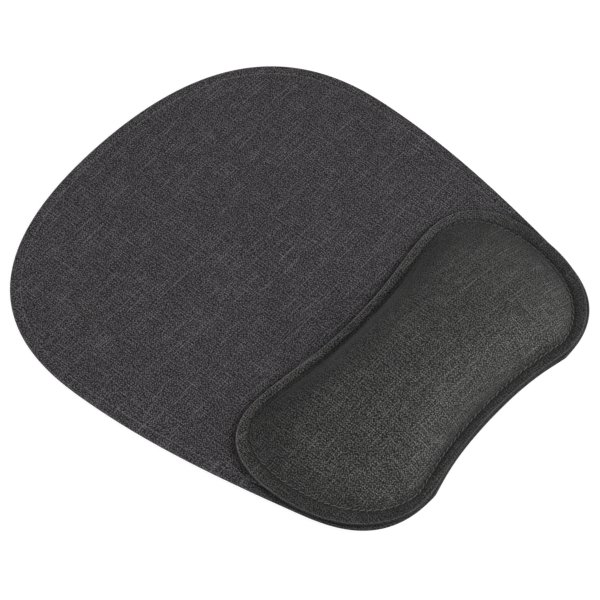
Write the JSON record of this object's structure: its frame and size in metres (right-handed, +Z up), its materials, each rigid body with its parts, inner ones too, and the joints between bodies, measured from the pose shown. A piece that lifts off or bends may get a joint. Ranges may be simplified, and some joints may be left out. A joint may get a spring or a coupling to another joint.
{
  "type": "mouse pad with wrist rest",
  "caption": "Thin fabric-covered mouse pad with rounded corners and a raised, padded, stitched wrist rest fixed along its near edge.",
  "frame": {"origin": "on the table, under the middle of the pad", "axes": "+Z up, +X to the user's right along the wrist rest, +Y away from the user"},
  "size_m": [0.224, 0.25, 0.024],
  "materials": {
    "pad_fabric": "woven heather, dark grey",
    "rest_fabric": "woven heather, dark grey",
    "thread": "spun sewing thread, mid grey",
    "foam": "closed-cell foam sheet",
    "memory_foam": "slow-recovery foam",
    "rubber": "matt, finely textured non-slip sheet",
    "board": "firm plastic sheet",
    "adhesive": "double-sided adhesive sheet"
  },
  "bodies": {
    "root": {"pad_base": "rubber", "pad_foam": "foam", "pad_cover": "pad_fabric", "pad_edge_thread": "thread", "rest_adhesive": "adhesive", "rest_backing": "board", "rest_foam": "memory_foam", "rest_cover": "rest_fabric", "rest_seam_thread": "thread"}
  },
  "joints": []
}
